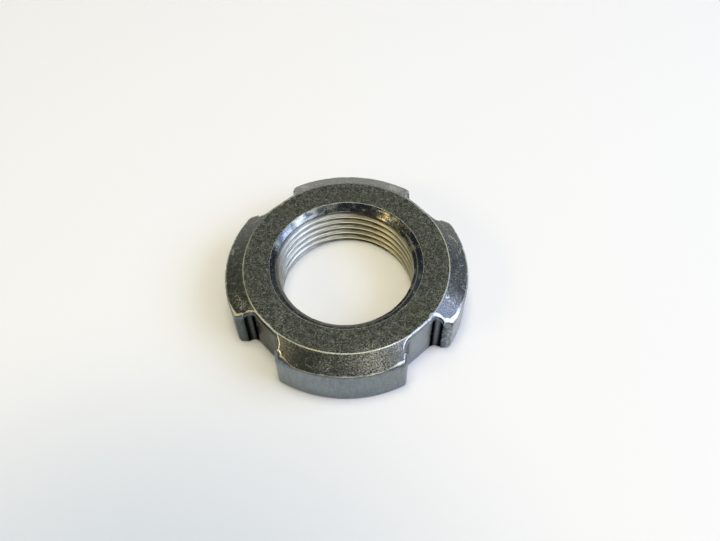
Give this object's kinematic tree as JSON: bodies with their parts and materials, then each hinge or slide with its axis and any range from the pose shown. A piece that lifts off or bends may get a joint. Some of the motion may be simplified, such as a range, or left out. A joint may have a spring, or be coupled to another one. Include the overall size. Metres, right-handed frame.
{
  "type": "slotted round lock nut",
  "caption": "Round steel lock nut with wide lugs, spanner slots between them, a bevelled top and a fine-threaded hole.",
  "frame": {"origin": "middle of the bottom face, on the axis of the threaded hole", "axes": "+Z along the hole, from the bottom face to the bevelled top; two lugs along X and two along Y"},
  "size_m": [0.0406, 0.0406, 0.0093],
  "materials": {
    "lock_nut": "satin, dark oxide"
  },
  "bodies": {
    "root": {"lock_nut": "lock_nut"}
  },
  "joints": []
}
